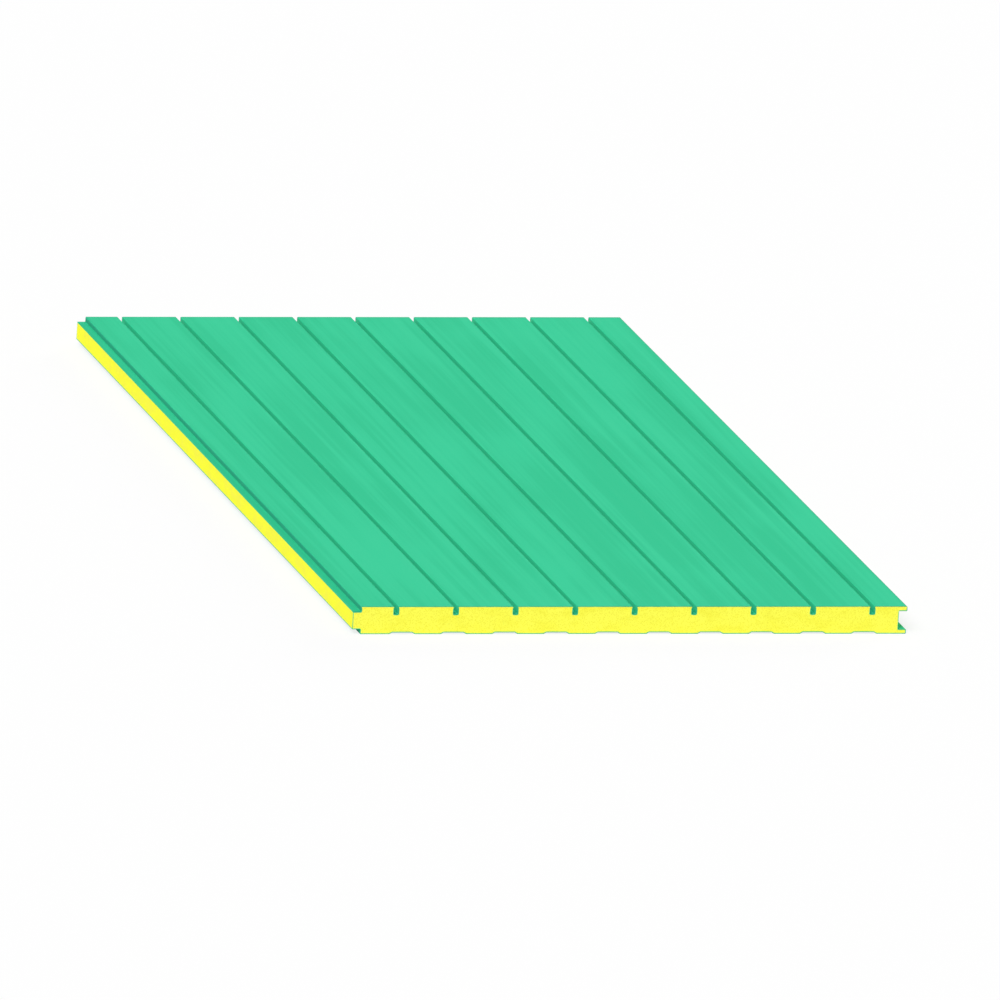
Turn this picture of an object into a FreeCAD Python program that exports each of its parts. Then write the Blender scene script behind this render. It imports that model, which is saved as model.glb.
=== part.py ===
"""Insulated sandwich panel with a tongue-and-groove joint, in millimetres.

Two roll-formed steel facings enclose a rigid foam core.  The panel lies flat with its slotted outer
face up.  X runs across the cover width from the tongue to the groove, Y runs along the panel and Z
goes up from the inner face.  The origin is the bottom centre of the overall box.
"""
import FreeCAD, Part
import math
import os
import re
import Sketcher

SIZES = {
    # the whole panel
    "panel_length": 2000,
    "cover_width": 1000,
    "panel_thickness": 50,
    "outer_sheet": 0.6,
    "inner_sheet": 0.5,
    "bend_radius": 1,
    # the joint along the two long edges
    "tongue_reach": 14.5,
    "upper_lip": 8.7,
    "lower_lip": 8.4,
    "upper_joint_gap": 0.5,
    "lower_joint_gap": 0.5,
    "joint_end_gap": 0.5,
    # the narrow slots of the outer face
    "slot_width": 8,
    "slot_depth": 14,
    "slot_pitch": 109,
    "slot_least_margin": 60,
    # the shallow recesses of the inner face
    "recess_mouth": 46.5,
    "recess_ramp_run": 5,
    "recess_depth": 3,
    "recess_pitch": 94,
    "recess_least_margin": 70,
}

PLACES = {
    # long edges, across the panel
    "tongue_tip_x": "-(cover_width + tongue_reach) / 2",
    "shoulder_x": "tongue_tip_x + tongue_reach",
    "lip_edge_x": "(cover_width + tongue_reach) / 2",
    "groove_back_x": "lip_edge_x - tongue_reach - joint_end_gap",
    "cover_middle_x": "(shoulder_x + lip_edge_x) / 2",
    # levels of the joint, as the seated sheet faces
    "groove_top_z": "panel_thickness - upper_lip",
    "groove_floor_z": "lower_lip",
    "tongue_top_z": "groove_top_z - upper_joint_gap",
    "tongue_under_z": "groove_floor_z + lower_joint_gap",
    # bends: the outside of a bend is one sheet thicker than its inside
    "outer_bend": "bend_radius + outer_sheet",
    "inner_bend": "bend_radius + inner_sheet",
    # slots: the channel is the steel round the slot, seen from the foam
    "slot_count": "floor((cover_width - 2 * slot_least_margin) / slot_pitch) + 1",
    "slot_first_x": "cover_middle_x - (slot_count - 1) / 2 * slot_pitch",
    "slot_half": "slot_width / 2",
    "slot_floor_z": "panel_thickness - slot_depth",
    "slot_cut_half": "slot_half + 2 * outer_bend",
    "channel_half": "slot_half + outer_sheet",
    "channel_root_half": "channel_half + 2 * bend_radius",
    # recesses: each ramp keeps the sheet's thickness square to its slope
    "recess_count": "floor((cover_width - 2 * recess_least_margin) / recess_pitch) + 1",
    "recess_first_x": "cover_middle_x - (recess_count - 1) / 2 * recess_pitch",
    "recess_mouth_half": "recess_mouth / 2",
    "recess_floor_half": "recess_mouth_half - recess_ramp_run",
    "recess_shift": "inner_sheet * tan(atan(recess_depth / recess_ramp_run) / 2)",
    "recess_cut_half": "recess_mouth_half + inner_bend",
    "ridge_foot_half": "recess_mouth_half + recess_shift",
    "ridge_top_half": "recess_floor_half + recess_shift",
    "ridge_root_half": "ridge_foot_half + inner_bend",
}

# A section is a loop of corners (x, z, bend radius), each written with the names above.  A corner
# whose radius is None stays sharp.
OUTER_FACING_SECTION = [
    ("tongue_tip_x", "tongue_top_z", None),
    ("shoulder_x", "tongue_top_z", "bend_radius"),
    ("shoulder_x", "panel_thickness", "outer_bend"),
    ("lip_edge_x", "panel_thickness", "outer_bend"),
    ("lip_edge_x", "groove_top_z", "outer_bend"),
    ("groove_back_x", "groove_top_z", None),
    ("groove_back_x", "groove_top_z + outer_sheet", None),
    ("lip_edge_x - outer_sheet", "groove_top_z + outer_sheet", "bend_radius"),
    ("lip_edge_x - outer_sheet", "panel_thickness - outer_sheet", "bend_radius"),
    ("shoulder_x + outer_sheet", "panel_thickness - outer_sheet", "bend_radius"),
    ("shoulder_x + outer_sheet", "tongue_top_z - outer_sheet", "outer_bend"),
    ("tongue_tip_x", "tongue_top_z - outer_sheet", None),
]

INNER_FACING_SECTION = [
    ("tongue_tip_x", "tongue_under_z", None),
    ("shoulder_x", "tongue_under_z", "bend_radius"),
    ("shoulder_x", "0", "inner_bend"),
    ("lip_edge_x", "0", "inner_bend"),
    ("lip_edge_x", "groove_floor_z", "inner_bend"),
    ("groove_back_x", "groove_floor_z", None),
    ("groove_back_x", "groove_floor_z - inner_sheet", None),
    ("lip_edge_x - inner_sheet", "groove_floor_z - inner_sheet", "bend_radius"),
    ("lip_edge_x - inner_sheet", "inner_sheet", "bend_radius"),
    ("shoulder_x + inner_sheet", "inner_sheet", "bend_radius"),
    ("shoulder_x + inner_sheet", "tongue_under_z + inner_sheet", "inner_bend"),
    ("tongue_tip_x", "tongue_under_z + inner_sheet", None),
]

FOAM_SECTION = [
    ("tongue_tip_x", "tongue_top_z - outer_sheet", None),
    ("shoulder_x + outer_sheet", "tongue_top_z - outer_sheet", "outer_bend"),
    ("shoulder_x + outer_sheet", "panel_thickness - outer_sheet", "bend_radius"),
    ("lip_edge_x - outer_sheet", "panel_thickness - outer_sheet", "bend_radius"),
    ("lip_edge_x - outer_sheet", "groove_top_z + outer_sheet", "bend_radius"),
    ("groove_back_x", "groove_top_z + outer_sheet", None),
    ("groove_back_x", "groove_floor_z - inner_sheet", None),
    ("lip_edge_x - inner_sheet", "groove_floor_z - inner_sheet", "bend_radius"),
    ("lip_edge_x - inner_sheet", "inner_sheet", "bend_radius"),
    ("shoulder_x + inner_sheet", "inner_sheet", "bend_radius"),
    ("shoulder_x + inner_sheet", "tongue_under_z + inner_sheet", "inner_bend"),
    ("tongue_tip_x", "tongue_under_z + inner_sheet", None),
]

# These four are symmetric about their own middle, so only the right half is written.
SLOT_HOLLOW = [
    ("slot_half", "slot_floor_z", "bend_radius"),
    ("slot_half", "panel_thickness", "outer_bend"),
    ("slot_cut_half", "panel_thickness", None),
    ("slot_cut_half", "panel_thickness + outer_bend", None),
]

SLOT_CHANNEL = [
    ("channel_half", "slot_floor_z - outer_sheet", "outer_bend"),
    ("channel_half", "panel_thickness - outer_sheet", "bend_radius"),
    ("channel_root_half", "panel_thickness - outer_sheet", None),
    ("channel_root_half", "panel_thickness", None),
]

RECESS_HOLLOW = [
    ("recess_floor_half", "recess_depth", "bend_radius"),
    ("recess_mouth_half", "0", "inner_bend"),
    ("recess_cut_half", "0", None),
    ("recess_cut_half", "-inner_bend", None),
]

RECESS_RIDGE = [
    ("ridge_top_half", "recess_depth + inner_sheet", "inner_bend"),
    ("ridge_foot_half", "inner_sheet", "bend_radius"),
    ("ridge_root_half", "inner_sheet", None),
    ("ridge_root_half", "0", None),
]


# How the sketcher numbers its own origin and the two ends of a line or an arc.
ORIGIN = -1
START = 1
END = 2


def make_sheet(doc):
    """Fill the sheet: the driving sizes as plain numbers, then the places worked out from them."""
    sheet = doc.addObject("Spreadsheet::Sheet", "Sizes")
    cells = dict(SIZES)
    cells.update({name: "=" + formula for name, formula in PLACES.items()})
    for row, (name, content) in enumerate(cells.items(), start=1):
        sheet.set(f"A{row}", name)
        sheet.set(f"B{row}", str(content))
        sheet.setAlias(f"B{row}", name)
    doc.recompute()


def on_sheet(expression):
    """Point every name in an expression at its cell in the sheet."""
    return re.sub(r"[a-z_]+", lambda name: "Sizes." + name.group(), expression)


def origin_item(body, role):
    """The plane or axis of the body's own origin that plays this role."""
    return next(item for item in body.Origin.OriginFeatures if item.Role == role)


def whole_section(right_half):
    """Complete a symmetric section from the corners of its right half."""
    left_half = [(f"-({across})", height, radius) for across, height, radius in reversed(right_half)]
    return right_half + left_half


def bend_at(before, corner, after, radius):
    """Where a bend of this radius leaves the two runs that meet at a corner, and its centre."""
    way_in = (corner - before).normalize()
    way_out = (after - corner).normalize()
    setback = radius * math.tan(way_in.getAngle(way_out) / 2)
    first = corner - way_in * setback
    last = corner + way_out * setback
    turns_left = way_in.cross(way_out).z > 0
    side = 1 if turns_left else -1
    centre = first + FreeCAD.Vector(-way_in.y, way_in.x) * side * radius
    return first, last, centre, turns_left


def arc_between(first, last, centre):
    """The arc that runs counter-clockwise from first to last."""
    start_angle = math.atan2(first.y - centre.y, first.x - centre.x)
    end_angle = math.atan2(last.y - centre.y, last.x - centre.x)
    circle = Part.Circle(centre, FreeCAD.Vector(0, 0, 1), centre.distanceToPoint(first))
    return Part.ArcOfCircle(circle, start_angle, end_angle)


def bind(sketch, kind, geometry, value, expression):
    """Dimension a piece of geometry and tie the dimension to the sheet."""
    index = sketch.addConstraint(Sketcher.Constraint(kind, *geometry, value))
    sketch.setExpression(f"Constraints[{index}]", on_sheet(expression))


def bind_place(sketch, geometry, place, across, height):
    """Tie the first point of a piece of geometry to its place in the section."""
    bind(sketch, "DistanceX", (ORIGIN, START, geometry, START), place.x, across)
    bind(sketch, "DistanceY", (ORIGIN, START, geometry, START), place.y, height)


def draw_section(sketch, corners):
    """Draw a loop of straight runs and bends through the corners, and constrain it fully."""
    def worked_out(text):
        return float(sketch.evalExpression(on_sheet(text)))

    points = [FreeCAD.Vector(worked_out(across), worked_out(height)) for across, height, _ in corners]
    count = len(corners)
    bends = {}
    for index, (_, _, radius) in enumerate(corners):
        if radius:
            following = points[(index + 1) % count]
            bends[index] = bend_at(points[index - 1], points[index], following, worked_out(radius))

    runs = []
    for index in range(count):
        following = (index + 1) % count
        run_start = bends[index][1] if index in bends else points[index]
        run_end = bends[following][0] if following in bends else points[following]
        runs.append(sketch.addGeometry(Part.LineSegment(run_start, run_end)))

    for index, (across, height, radius) in enumerate(corners):
        run_in = runs[index - 1]
        run_out = runs[index]
        if index not in bends:
            sketch.addConstraint(Sketcher.Constraint("Coincident", run_in, END, run_out, START))
            bind_place(sketch, run_out, points[index], across, height)
            continue
        first, last, centre, turns_left = bends[index]
        arc = arc_between(first, last, centre) if turns_left else arc_between(last, first, centre)
        near_end, far_end = (START, END) if turns_left else (END, START)
        mark = sketch.addGeometry(Part.Point(points[index]), True)
        bend = sketch.addGeometry(arc)
        bind_place(sketch, mark, points[index], across, height)
        sketch.addConstraint(Sketcher.Constraint("PointOnObject", mark, START, run_in))
        sketch.addConstraint(Sketcher.Constraint("PointOnObject", mark, START, run_out))
        sketch.addConstraint(Sketcher.Constraint("Tangent", run_in, END, bend, near_end))
        sketch.addConstraint(Sketcher.Constraint("Tangent", bend, far_end, run_out, START))
        bind(sketch, "Radius", (bend,), worked_out(radius), radius)


def add_section(body, name, corners, middle=None):
    """Sketch a section on the body's XZ plane, moved across to its middle if it has one."""
    sketch = body.newObject("Sketcher::SketchObject", name)
    sketch.AttachmentSupport = (origin_item(body, "XZ_Plane"), [""])
    sketch.MapMode = "FlatFace"
    if middle:
        sketch.setExpression("AttachmentOffset.Base.x", on_sheet(middle))
    draw_section(sketch, corners)
    return sketch


def add_material(body, name, section):
    """Run a section along the whole panel, half to each side of its plane."""
    pad = body.newObject("PartDesign::Pad", name)
    pad.Profile = section
    pad.SideType = "Symmetric"
    pad.setExpression("Length", on_sheet("panel_length"))
    return pad


def cut_through(body, name, section):
    """Cut a section out of the body along the whole panel, to both sides of its plane."""
    pocket = body.newObject("PartDesign::Pocket", name)
    pocket.Profile = section
    pocket.SideType = "Symmetric"
    pocket.Type = "ThroughAll"
    return pocket


def repeat_across(body, name, features, pitch, count):
    """Repeat features across the panel at an even pitch."""
    pattern = body.newObject("PartDesign::LinearPattern", name)
    pattern.Originals = features
    pattern.Direction = (origin_item(body, "X_Axis"), [""])
    pattern.Mode = "Spacing"
    pattern.setExpression("Offset", on_sheet(pitch))
    pattern.setExpression("Occurrences", on_sheet(count))
    body.Tip = pattern
    return pattern


def make_outer_facing(doc):
    """The upper steel sheet: tongue shelf, shoulder, slotted face and upper lip."""
    body = doc.addObject("PartDesign::Body", "outer_facing")
    section = add_section(body, "OuterFacingSection", OUTER_FACING_SECTION)
    add_material(body, "OuterSheetRun", section)
    channel = add_section(body, "SlotChannelSection", whole_section(SLOT_CHANNEL), "slot_first_x")
    hollow = add_section(body, "SlotHollowSection", whole_section(SLOT_HOLLOW), "slot_first_x")
    steel_round_slot = add_material(body, "SlotChannel", channel)
    open_slot = cut_through(body, "SlotHollow", hollow)
    repeat_across(body, "Slots", [steel_round_slot, open_slot], "slot_pitch", "slot_count")
    return body


def make_inner_facing(doc):
    """The lower steel sheet: tongue under side, lower shoulder, recessed face and lower lip."""
    body = doc.addObject("PartDesign::Body", "inner_facing")
    section = add_section(body, "InnerFacingSection", INNER_FACING_SECTION)
    add_material(body, "InnerSheetRun", section)
    ridge = add_section(body, "RecessRidgeSection", whole_section(RECESS_RIDGE), "recess_first_x")
    hollow = add_section(body, "RecessHollowSection", whole_section(RECESS_HOLLOW), "recess_first_x")
    steel_over_recess = add_material(body, "RecessRidge", ridge)
    open_recess = cut_through(body, "RecessHollow", hollow)
    repeat_across(body, "Recesses", [steel_over_recess, open_recess], "recess_pitch", "recess_count")
    return body


def make_foam_core(doc):
    """The foam slab, moulded against the inner side of both sheets."""
    body = doc.addObject("PartDesign::Body", "foam_core")
    section = add_section(body, "FoamSection", FOAM_SECTION)
    add_material(body, "FoamRun", section)
    slot_bed = add_section(body, "SlotBedSection", whole_section(SLOT_CHANNEL), "slot_first_x")
    bed_for_slot = cut_through(body, "SlotBed", slot_bed)
    repeat_across(body, "SlotBeds", [bed_for_slot], "slot_pitch", "slot_count")
    recess_bed = add_section(body, "RecessBedSection", whole_section(RECESS_RIDGE), "recess_first_x")
    bed_for_recess = cut_through(body, "RecessBed", recess_bed)
    repeat_across(body, "RecessBeds", [bed_for_recess], "recess_pitch", "recess_count")
    return body


def check_document(doc, bodies):
    """Stop if any object failed, if a cut removed nothing or if a body is not one sound solid."""
    for item in doc.Objects:
        if {"Invalid", "Error"} & set(item.State):
            raise RuntimeError(f"{item.Label} did not compute: {item.State}")
        if item.isDerivedFrom("PartDesign::Pocket") and item.Shape.Volume >= item.BaseFeature.Shape.Volume:
            raise RuntimeError(f"{item.Label} cuts nothing")
    for body in bodies:
        shape = body.Shape
        if shape.isNull() or not shape.isValid() or len(shape.Solids) != 1:
            raise RuntimeError(f"{body.Label} is not one sound solid")


def write_parts(bodies):
    """Write each piece to a STEP file named after it."""
    os.makedirs("parts", exist_ok=True)
    for body in bodies:
        body.Shape.exportStep(f"parts/{body.Label}.step")
        box = body.Shape.BoundBox
        print(f"{body.Label}: {box.XLength:.2f} x {box.YLength:.2f} x {box.ZLength:.2f} mm, "
              f"{body.Shape.Volume:.0f} mm3")


doc = FreeCAD.newDocument("InsulatedSandwichPanel")
make_sheet(doc)
bodies = [make_outer_facing(doc), make_foam_core(doc), make_inner_facing(doc)]
doc.recompute()
check_document(doc, bodies)
write_parts(bodies)
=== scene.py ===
# %% [markdown]
# # An insulated sandwich panel
# A sandwich panel is a slab of rigid foam between two thin steel facings, with a tongue along one
# edge and a groove along the other. The construction model holds these three pieces at their real
# size. They could be modelled again here, but then they might not fit any more, so this script loads
# them as they are. What it adds is what a maker sees last: the finishes, the light and the camera.

# %% Load the construction model
import math

import bpy
from mathutils import Matrix, Vector


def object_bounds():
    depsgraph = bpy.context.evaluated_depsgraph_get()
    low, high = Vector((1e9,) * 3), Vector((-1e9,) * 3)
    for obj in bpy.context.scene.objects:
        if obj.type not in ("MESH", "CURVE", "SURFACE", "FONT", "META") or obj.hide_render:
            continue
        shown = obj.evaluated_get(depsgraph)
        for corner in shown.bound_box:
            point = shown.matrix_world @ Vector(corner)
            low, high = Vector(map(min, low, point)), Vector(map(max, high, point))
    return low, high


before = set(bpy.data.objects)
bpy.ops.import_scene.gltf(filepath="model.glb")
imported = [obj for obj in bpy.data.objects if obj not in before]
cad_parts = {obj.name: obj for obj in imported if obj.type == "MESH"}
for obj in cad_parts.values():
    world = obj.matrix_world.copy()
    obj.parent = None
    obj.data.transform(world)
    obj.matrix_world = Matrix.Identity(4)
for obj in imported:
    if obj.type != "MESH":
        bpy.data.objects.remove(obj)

MM = 0.001
panel_low, panel_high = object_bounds()
middle = (panel_low + panel_high) / 2
print("panel in millimetres:", [round(size / MM, 2) for size in panel_high - panel_low])

# %% [markdown]
# ## Colours and nodes
# Blender's shaders work with linear light, but a colour is easiest to read and to pick as an sRGB hex
# value, so one function turns the second into the first. The numbers in it are the sRGB standard's
# own. Another function adds a shader node, sets its options and feeds its inputs, which lets a
# material read as a list of nodes. It finds an input by its identifier, because a node such as Mix
# has several inputs of one name. A node that is fed into an input gives the first of its outputs that
# is in use.


# %% Colour and node tools
def linear(hex_colour):
    """Turn an sRGB hex colour into Blender's linear red, green, blue and alpha."""
    shares = [int(hex_colour[start:start + 2], 16) / 255 for start in (1, 3, 5)]
    return [c / 12.92 if c <= 0.04045 else ((c + 0.055) / 1.055) ** 2.4 for c in shares] + [1.0]


def add_node(tree, kind, inputs=None, **options):
    """Add a shader node with its options, and set or link each input that is named."""
    node = tree.nodes.new("ShaderNode" + kind)
    for name, value in options.items():
        setattr(node, name, value)
    for name, value in (inputs or {}).items():
        socket = next(s for s in node.inputs if s.identifier == name)
        if isinstance(value, bpy.types.Node):
            value = next(s for s in value.outputs if s.enabled)
        if isinstance(value, bpy.types.NodeSocket):
            tree.links.new(value, socket)
        else:
            socket.default_value = value
    return node


def new_material(name):
    """Start a node material with nothing in it yet."""
    material = bpy.data.materials.new(name)
    material.use_nodes = True
    material.node_tree.nodes.clear()
    return material, material.node_tree


print("mid grey is", round(linear("#808080")[0], 3), "in linear light")

# %% [markdown]
# ## Patterns in millimetres
# A noise is a field of soft cells, one unit apart. Its scale could be turned by eye until it looks
# right, but then nobody can say how large the pattern is. So each pattern here starts from the size
# of one mark in millimetres, across, along and up the panel. A Mapping node then counts the place on
# the panel in marks of that size, and the noise keeps a scale of one.

# %% Cells of a real size
PATTERN_SCALE = 1.0
EXAMPLE_MM = (5, 20, 100)


def cells_per_metre(size_mm):
    """How many marks of this size fit in a metre, across, along and up the panel."""
    return [1 / (size * MM) for size in size_mm]


print("marks of", EXAMPLE_MM, "mm, to the metre:", [round(n, 1) for n in cells_per_metre(EXAMPLE_MM)])

# %% [markdown]
# ## Coil-coated steel
# The facings start as a coil of galvanised steel strip, painted in the coil with a baked polyester
# coating and then bent between rollers. To the eye that is an even, low-satin green with faint marks
# of how it was made: streaks along the way the strip ran, and broad flats that drift a little in
# tone. Such marks could be painted by hand, but a noise stretched along the panel is quicker and
# never repeats. The green is deeper where the streaks and the drift meet. Real streaks are a few
# millimetres wide. That is finer than shows on a panel two metres long, so they are drawn at 14 mm.

# %% Paint on the flats
COATING_GREEN = "#36CC98"
COATING_SHADE = "#30C490"
STREAK_MM = (14, 900, 14)
STREAK_DETAIL = 3
DRIFT_MM = (130, 420, 130)
DRIFT_DETAIL = 2
TONE_START, TONE_END = 0.14, 0.38

coil_coated_steel, tree = new_material("coil_coated_steel")
steel_point = add_node(tree, "TexCoord")
place = steel_point.outputs["Object"]
streak_cells = add_node(tree, "Mapping", {"Vector": place, "Scale": cells_per_metre(STREAK_MM)})
streaks = add_node(tree, "TexNoise", {"Vector": streak_cells, "Scale": PATTERN_SCALE,
                                      "Detail": STREAK_DETAIL})
drift_cells = add_node(tree, "Mapping", {"Vector": place, "Scale": cells_per_metre(DRIFT_MM)})
drift = add_node(tree, "TexNoise", {"Vector": drift_cells, "Scale": PATTERN_SCALE,
                                    "Detail": DRIFT_DETAIL})
tone = add_node(tree, "Math", {"Value": streaks, "Value_001": drift}, operation="MULTIPLY")
deeper = add_node(tree, "MapRange", {"Value": tone, "From Min": TONE_START, "From Max": TONE_END},
                  interpolation_type="SMOOTHSTEP")
paint = add_node(tree, "Mix", {"Factor_Float": deeper, "A_Color": linear(COATING_GREEN),
                               "B_Color": linear(COATING_SHADE)}, data_type="RGBA")
print("room for", round((panel_high.x - panel_low.x) / MM / STREAK_MM[0]), "streaks across the panel")

# %% [markdown]
# ## Where the sheet was worked, and painted light and shade
# Other marks belong to a place. The slots are painted a little paler than the flats, as painted
# light that lifts the shade on their walls and floors. The upright walls of the joint are painted a
# shade deeper, as painted shade on walls that face sideways. Both ends were sheared, which bruised
# the paint beside the cut, and the fold along the lip did the same. An image could hold these marks,
# but the panel has no unwrapped map and each mark follows a simple rule. So the shader works out a
# mask for each from where the surface is and which way it faces: one on the mark, nought off it, and
# a soft step between. A facing of one is square on to an axis, and nought is along it. Distances and
# facings lose their sign where both sides of the panel are alike.

# %% Masks for slots, folds and sheared ends
WALL_FACING = (0.75, 0.97)
SHEARED_FACING = (0.85, 0.95)
JOINT_WIDTH = 25 * MM
BRUISE_LENGTH = 4 * MM
LIP_BAND = 4 * MM
BEND_TOP, BEND_FOOT = 0.5 * MM, 2.5 * MM  # depths below the outer face
SOFT_EDGE = 1 * MM

spot = add_node(tree, "SeparateXYZ", {"Vector": place})
distance = add_node(tree, "VectorMath", {"Vector": place}, operation="ABSOLUTE")
from_middle = add_node(tree, "SeparateXYZ", {"Vector": distance})
turn = add_node(tree, "VectorMath", {"Vector": steel_point.outputs["Normal"]}, operation="ABSOLUTE")
facing = add_node(tree, "SeparateXYZ", {"Vector": turn})
joint_start = panel_high.x - JOINT_WIDTH
joint_full = joint_start + SOFT_EDGE
bend_top, bend_foot = panel_high.z - BEND_TOP, panel_high.z - BEND_FOOT
soft_steps = {
    # upright and at_joint pick the sideways walls of the joint, which get painted shade
    "upright": (facing.outputs["X"], *WALL_FACING),
    "sheared": (facing.outputs["Y"], *SHEARED_FACING),
    "at_joint": (from_middle.outputs["X"], joint_start, joint_full),
    "off_joint": (from_middle.outputs["X"], joint_full, joint_start),
    "at_end": (from_middle.outputs["Y"], panel_high.y - BRUISE_LENGTH, panel_high.y),
    "at_lip": (spot.outputs["X"], panel_high.x - LIP_BAND, panel_high.x),
    "outer_half": (spot.outputs["Z"], middle.z, middle.z + SOFT_EDGE),
    "on_face": (spot.outputs["Z"], bend_foot, bend_top),
    # under_face and outer_half pick the walls and floors of the slots, which get painted light
    "under_face": (spot.outputs["Z"], bend_top, bend_foot),
}
masks = {name: add_node(tree, "MapRange", {"Value": value, "From Min": start, "From Max": end},
                        interpolation_type="SMOOTHSTEP")
         for name, (value, start, end) in soft_steps.items()}
print("masks:", ", ".join(masks))

# %% [markdown]
# Most marks need two rules at once. Two masks multiplied keep what both hold, and the larger of two
# keeps what either holds. Each mark could be a material of its own on its own faces, but then it
# would end in a hard seam, where a real one fades. So the finished masks lay their colours over the
# paint one after the other, the way a painter would: the painted light of the slots first, and the
# dark line of the sheared edge last.

# %% Colours of the worked sheet
# Paler slot green: painted light that lifts the shade inside the slots
SLOT_PAINTED_LIGHT = "#42D3A6"
# Deeper joint-wall green: painted shade on the sideways walls of the tongue and groove
JOINT_WALL_PAINTED_SHADE = "#31AA88"
BRUISED_GREEN = "#2BA67E"
SHEARED_EDGE = "#309E76"

# The slot mask places painted light in the slots, the folded mask painted shade on the joint walls
for name, first, second, operation in (
        ("sunk", "under_face", "outer_half", "MULTIPLY"),
        ("slot_painted_light", "sunk", "off_joint", "MULTIPLY"),
        # the folded mask is where shade is painted on the sideways joint walls
        ("folded", "upright", "at_joint", "MULTIPLY"),
        ("folded_lip", "at_lip", "on_face", "MULTIPLY"),
        ("bruised", "at_end", "folded_lip", "MAXIMUM")):
    masks[name] = add_node(tree, "Math", {"Value": masks[first], "Value_001": masks[second]},
                           operation=operation)

steel_colour = paint
# Laid on in turn: painted light in the slots, painted shade on the joint walls, bruises, sheared edge
for name, colour in (("slot_painted_light", SLOT_PAINTED_LIGHT), ("folded", JOINT_WALL_PAINTED_SHADE), ("bruised", BRUISED_GREEN),
                     ("sheared", SHEARED_EDGE)):
    steel_colour = add_node(tree, "Mix", {"Factor_Float": masks[name], "A_Color": steel_colour,
                                          "B_Color": linear(colour)}, data_type="RGBA")
    print(name, "is", colour)

# %% [markdown]
# ## Gloss and orange peel
# Polyester paint has an index of refraction near 1.5 and no metal in its look. Its roughness could be
# one number, but the rollers leave the streaks a little glossier than the rest, so it follows them.
# A smooth coat would be near 0.4. This one is textured, so it is rougher, and its reflection is set
# far below the usual 0.5, which keeps the green deep where the eye meets the sheet at a flat angle.
# The bump is the orange peel of baked paint. It is about 1 mm across and is drawn at 5 mm, so that it
# shows.

# %% Steel finish
COATING_IOR = 1.5
COATING_REFLECTION = 0.05
STREAK_ROUGHNESS, FLAT_ROUGHNESS = 0.60, 0.74
PEEL_MM = (5, 5, 5)
PEEL_DETAIL = 2
PEEL_HEIGHT = 0.03 * MM

gloss = add_node(tree, "MapRange", {"Value": streaks, "To Min": STREAK_ROUGHNESS,
                                    "To Max": FLAT_ROUGHNESS})
peel_cells = add_node(tree, "Mapping", {"Vector": place, "Scale": cells_per_metre(PEEL_MM)})
peel = add_node(tree, "TexNoise", {"Vector": peel_cells, "Scale": PATTERN_SCALE, "Detail": PEEL_DETAIL})
orange_peel = add_node(tree, "Bump", {"Height": peel, "Distance": PEEL_HEIGHT})
coating = add_node(tree, "BsdfPrincipled", {
    "Base Color": steel_colour, "Roughness": gloss, "IOR": COATING_IOR,
    "Specular IOR Level": COATING_REFLECTION, "Normal": orange_peel})
add_node(tree, "OutputMaterial", {"Surface": coating})
print("coil-coated steel has", len(tree.nodes), "nodes")

# %% [markdown]
# ## Rigid foam
# The core is closed-cell polyurethane foam that rose and set between the two sheets. A saw opened its
# cells at both ends. The flank of the tongue set against a mould, so it has a closed skin, smoother
# and a deeper yellow. All through, the foam is softly clouded from the way it rose. Clouds could be
# lighter or darker than the foam, but this lemon yellow is about as bright as a colour can be, so
# each mark on it is darker. Real cells are about 0.4 mm across. They are drawn at 2.5 mm, the finest
# grain that still shows on a whole panel.

# %% Skin, clouds and opened cells
SAWN_FACING = (0.6, 0.9)
CLOUD_MM = (45, 45, 18)
CLOUD_DETAIL = 3
CLOUD_SWIRL = 0.6
CLOUD_START, CLOUD_END = 0.40, 0.75
CELL_MM = (2.5, 2.5, 2.5)
CELL_WALL, CELL_HEART = 0.55, 0.15

rigid_foam, tree = new_material("rigid_foam")
foam_point = add_node(tree, "TexCoord")
place = foam_point.outputs["Object"]
turn = add_node(tree, "VectorMath", {"Vector": foam_point.outputs["Normal"]}, operation="ABSOLUTE")
facing = add_node(tree, "SeparateXYZ", {"Vector": turn})
cloud_cells = add_node(tree, "Mapping", {"Vector": place, "Scale": cells_per_metre(CLOUD_MM)})
clouds = add_node(tree, "TexNoise", {"Vector": cloud_cells, "Scale": PATTERN_SCALE,
                                     "Detail": CLOUD_DETAIL, "Distortion": CLOUD_SWIRL})
foam_cells = add_node(tree, "Mapping", {"Vector": place, "Scale": cells_per_metre(CELL_MM)})
cells = add_node(tree, "TexVoronoi", {"Vector": foam_cells, "Scale": PATTERN_SCALE})
soft_steps = {
    "sawn": (facing.outputs["Y"], *SAWN_FACING),
    "clouded": (clouds, CLOUD_START, CLOUD_END),
    "cell_heart": (cells, CELL_WALL, CELL_HEART),
}
masks = {name: add_node(tree, "MapRange", {"Value": value, "From Min": start, "From Max": end},
                        interpolation_type="SMOOTHSTEP")
         for name, (value, start, end) in soft_steps.items()}
masks["opened"] = add_node(tree, "Math", {"Value": masks["cell_heart"], "Value_001": masks["sawn"]},
                           operation="MULTIPLY")
print("room for", round((panel_high.z - panel_low.z) / MM / CELL_MM[2]), "cells in the panel's thickness")

# %% [markdown]
# ## Green arris
# Along the arrises of the foam runs a fine green line, a trace of the facings' coating. It fades out
# under the outer face, where the sheet lies flat on the foam. A curve along each arris could draw it,
# but a line painted in the shader adds no shape. A shader can't see edges by itself, and ambient
# occlusion turned to the inside can: it asks how soon a ray into the foam comes out again, which is
# only near an arris.

# %% Line along the arrises
ARRIS_WIDTH = 1.8 * MM
ARRIS_START, ARRIS_END = 0.98, 0.72
ARRIS_SAMPLES = 16
FADE_TOP, FADE_FOOT = 1 * MM, 4 * MM  # depths below the outer face

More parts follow.
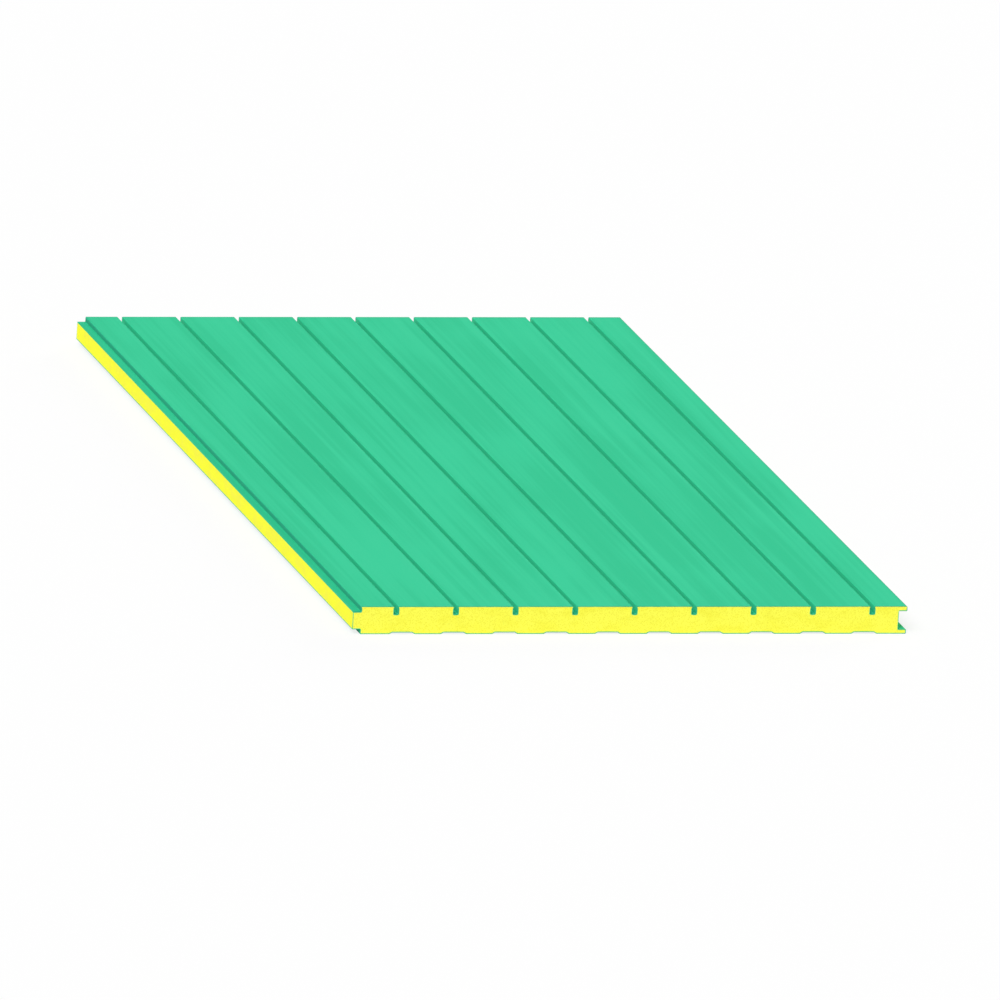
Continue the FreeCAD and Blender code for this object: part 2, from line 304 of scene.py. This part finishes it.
inside = add_node(tree, "AmbientOcclusion", {"Distance": ARRIS_WIDTH}, inside=True, only_local=True,
                  samples=ARRIS_SAMPLES)
near_arris = add_node(tree, "MapRange", {"Value": inside.outputs["AO"], "From Min": ARRIS_START,
                                         "From Max": ARRIS_END}, interpolation_type="SMOOTHSTEP")
height = add_node(tree, "SeparateXYZ", {"Vector": place}).outputs["Z"]
below = add_node(tree, "MapRange", {"Value": height, "From Min": panel_high.z - FADE_TOP,
                                    "From Max": panel_high.z - FADE_FOOT},
                 interpolation_type="SMOOTHSTEP")
masks["arris"] = add_node(tree, "Math", {"Value": near_arris, "Value_001": below}, operation="MULTIPLY")
print("green line up to", round(ARRIS_WIDTH / MM, 1), "mm from each arris")

# %% [markdown]
# ## Foam finish
# Solid polyurethane has an index of refraction near 1.5, but the opened cells scatter light so well
# that foam hardly shines: its roughness is near one and its reflection almost nothing. The colours go
# on in order again, from the skin to the arris. The relief could be cut into the mesh, but it is only
# a fraction of a millimetre deep, and a bump catches the light as well. Two bumps follow each other:
# upright marks of the saw, only where the foam was sawn, and then the pits of the cells. Real saw
# marks are about 2 mm apart and are drawn at 5 mm, so that they show.

# %% Foam colours and bumps
FOAM_SKIN = "#FEFF3E"
FOAM_YELLOW = "#FFFF58"
FOAM_CLOUD = "#FAF84E"
CELL_SHADE = "#F0EC40"
ARRIS_GREEN = "#35CC8E"
FOAM_IOR = 1.5
FOAM_ROUGHNESS = 0.95
FOAM_REFLECTION = 0.05
SAW_MARK_MM = (5, 5, 160)
SAW_DETAIL = 2
SAW_DEPTH = 0.15 * MM
CELL_DEPTH = 0.2 * MM

foam_colour = linear(FOAM_SKIN)
for name, colour in (("sawn", FOAM_YELLOW), ("clouded", FOAM_CLOUD), ("opened", CELL_SHADE),
                     ("arris", ARRIS_GREEN)):
    foam_colour = add_node(tree, "Mix", {"Factor_Float": masks[name], "A_Color": foam_colour,
                                         "B_Color": linear(colour)}, data_type="RGBA")
    print(name, "is", colour)

saw_cells = add_node(tree, "Mapping", {"Vector": place, "Scale": cells_per_metre(SAW_MARK_MM)})
saw = add_node(tree, "TexNoise", {"Vector": saw_cells, "Scale": PATTERN_SCALE, "Detail": SAW_DETAIL})
saw_marks = add_node(tree, "Bump", {"Height": saw, "Strength": masks["sawn"], "Distance": SAW_DEPTH})
pits = add_node(tree, "Bump", {"Height": cells, "Distance": CELL_DEPTH, "Normal": saw_marks})
foam = add_node(tree, "BsdfPrincipled", {
    "Base Color": foam_colour, "Roughness": FOAM_ROUGHNESS, "IOR": FOAM_IOR,
    "Specular IOR Level": FOAM_REFLECTION, "Normal": pits})
add_node(tree, "OutputMaterial", {"Surface": foam})
print("rigid foam has", len(tree.nodes), "nodes")

# %% [markdown]
# ## Dressing the pieces
# A piece takes its finish through its mesh's list of materials, and its shape stays as the
# construction model made it. Each facing could have a material of its own, but both come from the
# same kind of coil, so they share one.

# %% Dress the three pieces
for name, finish in (("outer_facing", coil_coated_steel), ("foam_core", rigid_foam),
                     ("inner_facing", coil_coated_steel)):
    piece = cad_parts[name]
    piece.data.materials.clear()
    piece.data.materials.append(finish)
    print(name, "wears", finish.name)

# %% [markdown]
# ## Floor and backdrop
# The panel lies on a studio floor of matt white paint, which has no shine and throws a soft light back
# up. A white backdrop could come from strong lamps, but they would bleach the panel too. Here it is a
# matter of who looks: camera, mirror and glass rays meet a floor and a sky that are white by
# themselves, and the rays that carry light to the panel meet the plain paint. The floor is white by a
# share only, so that it keeps the panel's soft shadow.


# %% Pale floor
def backdrop_rays(tree):
    """One for the rays that see the backdrop, and nought for those that carry light."""
    rays = add_node(tree, "LightPath").outputs
    seen = add_node(tree, "Math", {"Value": rays["Is Camera Ray"], "Value_001": rays["Is Glossy Ray"]},
                    operation="MAXIMUM")
    return add_node(tree, "Math", {"Value": seen, "Value_001": rays["Is Transmission Ray"]},
                    operation="MAXIMUM")


FLOOR_SIZE = 60.0  # metres, to keep its edges far off
FLOOR_PAINT = "#FCFCFC"
BACKDROP_SHARE = 0.8
BACKDROP_WHITE = 1.0

bpy.ops.mesh.primitive_plane_add(size=FLOOR_SIZE, location=(0, 0, panel_low.z))
floor = bpy.context.object
floor.name = "floor"
matt_white_paint, tree = new_material("matt_white_paint")
share = add_node(tree, "Math", {"Value": backdrop_rays(tree), "Value_001": BACKDROP_SHARE},
                 operation="MULTIPLY")
floor_paint = add_node(tree, "BsdfDiffuse", {"Color": linear(FLOOR_PAINT)})
white = add_node(tree, "Emission", {"Strength": BACKDROP_WHITE})
seen_floor = add_node(tree, "MixShader", {"Fac": share, "Shader": floor_paint, "Shader_001": white})
add_node(tree, "OutputMaterial", {"Surface": seen_floor})
floor.data.materials.append(matt_white_paint)
print("floor at", round(floor.location.z / MM, 1), "mm, right under the panel")

# %% [markdown]
# ## Sky
# An even white sky lights every side alike, which is what a tent of white cloth does in a studio. A
# ring of soft lamps could do it too, with more to set up. The rays that see the backdrop get plain
# white here as well.

# %% Even sky
SKY_WHITE = "#FFFFFF"
SKY_LIGHT = 0.35

world = bpy.data.worlds.new("studio")
bpy.context.scene.world = world
world.use_nodes = True
tree = world.node_tree
tree.nodes.clear()
strength = add_node(tree, "MapRange", {"Value": backdrop_rays(tree), "To Min": SKY_LIGHT,
                                       "To Max": BACKDROP_WHITE})
sky = add_node(tree, "Background", {"Color": linear(SKY_WHITE), "Strength": strength})
add_node(tree, "OutputWorld", {"Surface": sky})
print("sky light on the upper face:", SKY_LIGHT)

# %% [markdown]
# ## Two wide suns
# A sky alone leaves the slots and bends flat, so a wide sun adds a direction. It could be given by two
# angles. Here it is given by what it sends to each face, because that is what a colour needs: sky and
# suns together put one unit of light on the upper face, and a colour renders about as it is written.
# The key sun stands over the tongue and the near end, which would be too dark with the sky alone. A
# low, weaker one fills in from the other side, so that the far end and the groove don't look dull.

# %% Key and fill
SUNS = {
    "key_sun": {"on_faces": (-0.325, -0.335, 0.58), "degrees_wide": 35},
    "fill_sun": {"on_faces": (0.25, 0.25, 0.07), "degrees_wide": 20},
}

upper_face_light = SKY_LIGHT
for name, settings in SUNS.items():
    to_sun = Vector(settings["on_faces"])
    sun = bpy.data.lights.new(name, "SUN")
    sun.energy = to_sun.length * math.pi
    sun.angle = math.radians(settings["degrees_wide"])
    sun_lamp = bpy.data.objects.new(name, sun)
    sun_lamp.rotation_euler = to_sun.to_track_quat("Z", "Y").to_euler()
    bpy.context.scene.collection.objects.link(sun_lamp)
    upper_face_light += to_sun.z
print("light on the upper face:", round(upper_face_light, 3))

# %% [markdown]
# ## Camera
# Long panels are often drawn with the end face square on and the length running off at 45 degrees,
# because that shows the section and both faces beside it at a glance. Blender has no camera for such
# an oblique view, but a very long lens from far off, turned a little about its own axis, comes close.

# %% Camera
VIEW_AZIMUTH = math.radians(-15.62)
VIEW_ELEVATION = math.radians(14.51)
VIEW_ROLL = math.radians(4.0)
LENS_MM = 1680
SENSOR_MM = 36
VIEW_WIDTH = 1.781  # metres from side to side, at the panel
AIM_ACROSS, AIM_ALONG = -0.0506, -0.274  # metres from the panel's middle
NEAREST, FURTHEST = 0.1, 2.0  # what the lens sees, in shares of its distance

aim = Vector((middle.x + AIM_ACROSS, middle.y + AIM_ALONG, panel_high.z))
away = VIEW_WIDTH * LENS_MM / SENSOR_MM
to_camera = Vector((math.sin(VIEW_AZIMUTH) * math.cos(VIEW_ELEVATION),
                    -math.cos(VIEW_AZIMUTH) * math.cos(VIEW_ELEVATION), math.sin(VIEW_ELEVATION)))
lens = bpy.data.cameras.new("camera")
lens.lens = LENS_MM
lens.sensor_width = SENSOR_MM
lens.clip_start = away * NEAREST
lens.clip_end = away * FURTHEST
camera = bpy.data.objects.new("camera", lens)
bpy.context.scene.collection.objects.link(camera)
level = (-to_camera).to_track_quat("-Z", "Y").to_matrix()
camera.rotation_euler = (level @ Matrix.Rotation(VIEW_ROLL, 3, "Z")).to_euler()
camera.location = aim + to_camera * away
bpy.context.scene.camera = camera
bpy.context.scene.view_settings.view_transform = "Standard"
print("camera stands", round(away, 1), "m off")
